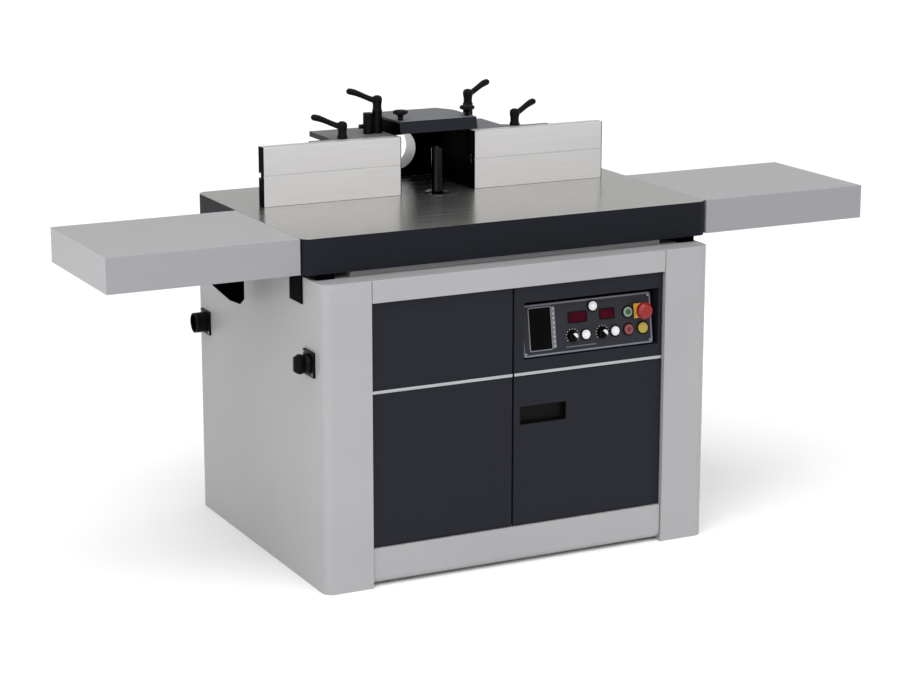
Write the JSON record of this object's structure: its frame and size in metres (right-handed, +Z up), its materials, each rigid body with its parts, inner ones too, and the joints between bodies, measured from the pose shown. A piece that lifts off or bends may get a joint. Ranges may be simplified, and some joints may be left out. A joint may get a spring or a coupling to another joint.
{
  "type": "spindle moulder",
  "caption": "Floor-standing spindle moulder with a cast table, bolt-on table extensions, a split fence with a chip hood, a rising belt-driven spindle and a leaning control panel.",
  "frame": {"origin": "on the floor under the middle of the machine's box", "axes": "+X to the operator's right along the fence, +Y away from the operator, +Z up"},
  "size_m": [2.1286, 0.8596, 1.1653],
  "materials": {
    "light_grey_paint": "fine-textured powder coat, light grey",
    "dark_grey_paint": "fine-textured powder coat, dark blue grey",
    "black_paint": "satin black paint",
    "table_iron": "ground top, dark painted edges",
    "grey_casting": "painted casting",
    "bright_steel": "turned and ground",
    "brushed_alloy": "brushed along its length",
    "extension_alloy": "satin anodised",
    "silver_trim": "satin strip",
    "black_plastic": "black moulded plastic",
    "white_plastic": "white button",
    "red_plastic": "red button",
    "green_plastic": "green button",
    "yellow_plastic": "yellow plate and button",
    "display_window": "dark window",
    "control_plate_paint": "printed panel",
    "belt_rubber": "flat belt"
  },
  "bodies": {
    "machine": {"base_frame": "dark_grey_paint", "left_side_panel": "light_grey_paint", "right_side_panel": "light_grey_paint", "back_panel": "light_grey_paint", "top_deck": "light_grey_paint", "front_frame": "light_grey_paint", "kick_panel": "light_grey_paint", "left_front_panel": "dark_grey_paint", "trim_strips": "silver_trim", "control_fascia": "dark_grey_paint", "electrics_box": "black_plastic", "door_hinge_pins": "bright_steel", "control_plate": "control_plate_paint", "panel_displays": "display_window", "switch_bezels": "black_plastic", "estop_base": "yellow_plastic", "main_switch_plate": "black_plastic", "power_inlet": "black_plastic", "worktable": "table_iron", "table_supports": "black_paint", "extension_brackets": "black_paint", "guide_bracket": "grey_casting", "lift_actuator": "brushed_alloy"},
    "door": {"door_panel": "dark_grey_paint", "door_pull": "black_plastic"},
    "main_switch": {"main_switch_knob": "black_plastic"},
    "emergency_stop": {"estop_head": "red_plastic"},
    "mode_push": {"mode_button": "white_plastic"},
    "height_set_push": {"height_set_button": "white_plastic"},
    "speed_set_push": {"speed_set_button": "white_plastic"},
    "start_push": {"start_button": "green_plastic"},
    "stop_push": {"stop_button": "red_plastic"},
    "jog_push": {"jog_button": "yellow_plastic"},
    "height_dial": {"height_selector": "black_plastic"},
    "speed_dial": {"speed_selector": "black_plastic"},
    "table_insert": {"insert_ring": "bright_steel"},
    "lift": {"height_carriage": "grey_casting", "spindle_housing": "grey_casting", "spindle_bearings": "bright_steel", "motor_body": "grey_casting", "lift_rod": "bright_steel", "drive_belt": "belt_rubber"},
    "spindle": {"spindle_shaft": "bright_steel", "spindle_pulley": "brushed_alloy"},
    "motor_rotor": {"motor_pulley": "brushed_alloy"},
    "fence": {"fence_carriers": "grey_casting", "fence_hood": "black_paint", "clamp_pillars": "black_paint", "fence_studs": "bright_steel"},
    "roof": {"hood_roof": "black_paint"},
    "left_knob": {"left_roof_knob": "black_plastic"},
    "right_knob": {"right_roof_knob": "black_plastic"},
    "left_plate": {"left_fence_plate": "brushed_alloy"},
    "right_plate": {"right_fence_plate": "brushed_alloy"},
    "left_outer_clamp": {"left_outer_lever": "black_plastic"},
    "right_outer_clamp": {"right_outer_lever": "black_plastic"},
    "left_inner_clamp": {"left_inner_lever": "black_plastic"},
    "right_inner_clamp": {"right_inner_lever": "black_plastic"},
    "left_leaf": {"left_extension": "extension_alloy"},
    "right_leaf": {"right_extension": "extension_alloy"}
  },
  "joints": [
    {"name": "door_swing", "type": "hinge", "parent": "machine", "child": "door", "pos_m": [0.401, -0.407, 0.299], "axis": [0, 0, 1], "range_deg": [0, 105]},
    {"name": "main_switch_turn", "type": "hinge", "parent": "machine", "child": "main_switch", "pos_m": [-0.5515, -0.344, 0.577], "axis": [-1, 0, 0], "range_deg": [0, 90]},
    {"name": "emergency_stop_push", "type": "slide", "parent": "machine", "child": "emergency_stop", "axis": [0, 0.9887, -0.1498], "range_m": [0, 0.005]},
    {"name": "height_dial_turn", "type": "hinge", "parent": "machine", "child": "height_dial", "pos_m": [0.155, -0.40271, 0.58153], "axis": [0, -0.9887, 0.1498], "range_deg": [-45, 45]},
    {"name": "speed_dial_turn", "type": "hinge", "parent": "machine", "child": "speed_dial", "pos_m": [0.242, -0.40271, 0.58153], "axis": [0, -0.9887, 0.1498], "range_deg": [-45, 45]},
    {"name": "insert_lift_out", "type": "slide", "parent": "machine", "child": "table_insert", "axis": [0, 0, 1], "range_m": [0, 0.1]},
    {"name": "spindle_height", "type": "slide", "parent": "machine", "child": "lift", "axis": [0, 0, 1], "range_m": [-0.125, 0.01]},
    {"name": "spindle_spin", "type": "hinge", "parent": "lift", "child": "spindle", "pos_m": [0, 0.062, 0.6], "axis": [0, 0, 1], "continuous": true},
    {"name": "motor_spin", "type": "hinge", "parent": "lift", "child": "motor_rotor", "pos_m": [0, -0.15, 0.5], "axis": [0, 0, 1], "continuous": true},
    {"name": "fence_depth", "type": "slide", "parent": "machine", "child": "fence", "axis": [0, 1, 0], "range_m": [-0.05, 0.04]},
    {"name": "roof_lift_off", "type": "slide", "parent": "fence", "child": "roof", "axis": [0, 0, 1], "range_m": [0, 0.12]},
    {"name": "left_plate_shift", "type": "slide", "parent": "fence", "child": "left_plate", "axis": [1, 0, 0], "range_m": [-0.06, 0.04]},
    {"name": "right_plate_shift", "type": "slide", "parent": "fence", "child": "right_plate", "axis": [1, 0, 0], "range_m": [-0.04, 0.06]},
    {"name": "left_leaf_pull_off", "type": "slide", "parent": "machine", "child": "left_leaf", "axis": [-1, 0, 0], "range_m": [0, 0.15]},
    {"name": "right_leaf_pull_off", "type": "slide", "parent": "machine", "child": "right_leaf", "axis": [1, 0, 0], "range_m": [0, 0.15]},
    {"name": "mode_press", "type": "slide", "parent": "machine", "child": "mode_push", "axis": [0, 0.9887, -0.1498], "range_m": [0, 0.003], "stiffness_N_per_m": 600},
    {"name": "height_set_press", "type": "slide", "parent": "machine", "child": "height_set_push", "axis": [0, 0.9887, -0.1498], "range_m": [0, 0.003], "stiffness_N_per_m": 600},
    {"name": "speed_set_press", "type": "slide", "parent": "machine", "child": "speed_set_push", "axis": [0, 0.9887, -0.1498], "range_m": [0, 0.003], "stiffness_N_per_m": 600},
    {"name": "start_press", "type": "slide", "parent": "machine", "child": "start_push", "axis": [0, 0.9887, -0.1498], "range_m": [0, 0.003], "stiffness_N_per_m": 600},
    {"name": "stop_press", "type": "slide", "parent": "machine", "child": "stop_push", "axis": [0, 0.9887, -0.1498], "range_m": [0, 0.003], "stiffness_N_per_m": 600},
    {"name": "jog_press", "type": "slide", "parent": "machine", "child": "jog_push", "axis": [0, 0.9887, -0.1498], "range_m": [0, 0.003], "stiffness_N_per_m": 600},
    {"name": "left_outer_clamp_turn", "type": "hinge", "parent": "fence", "child": "left_outer_clamp", "pos_m": [-0.254, 0.105, 1.06], "axis": [0, 0, 1], "range_deg": [-60, 60]},
    {"name": "left_inner_clamp_turn", "type": "hinge", "parent": "fence", "child": "left_inner_clamp", "pos_m": [-0.134, 0.147, 1.11], "axis": [0, 0, 1], "range_deg": [-60, 60]},
    {"name": "left_knob_turn", "type": "hinge", "parent": "roof", "child": "left_knob", "pos_m": [-0.098, 0.08, 1.095], "axis": [0, 0, 1], "range_deg": [-180, 180]},
    {"name": "right_outer_clamp_turn", "type": "hinge", "parent": "fence", "child": "right_outer_clamp", "pos_m": [0.254, 0.105, 1.06], "axis": [0, 0, 1], "range_deg": [-60, 60]},
    {"name": "right_inner_clamp_turn", "type": "hinge", "parent": "fence", "child": "right_inner_clamp", "pos_m": [0.134, 0.147, 1.11], "axis": [0, 0, 1], "range_deg": [-60, 60]},
    {"name": "right_knob_turn", "type": "hinge", "parent": "roof", "child": "right_knob", "pos_m": [0.098, 0.08, 1.095], "axis": [0, 0, 1], "range_deg": [-180, 180]}
  ],
  "couplings": [
    {"joint": "motor_spin", "follows": "spindle_spin", "ratio": 1.0909}
  ]
}
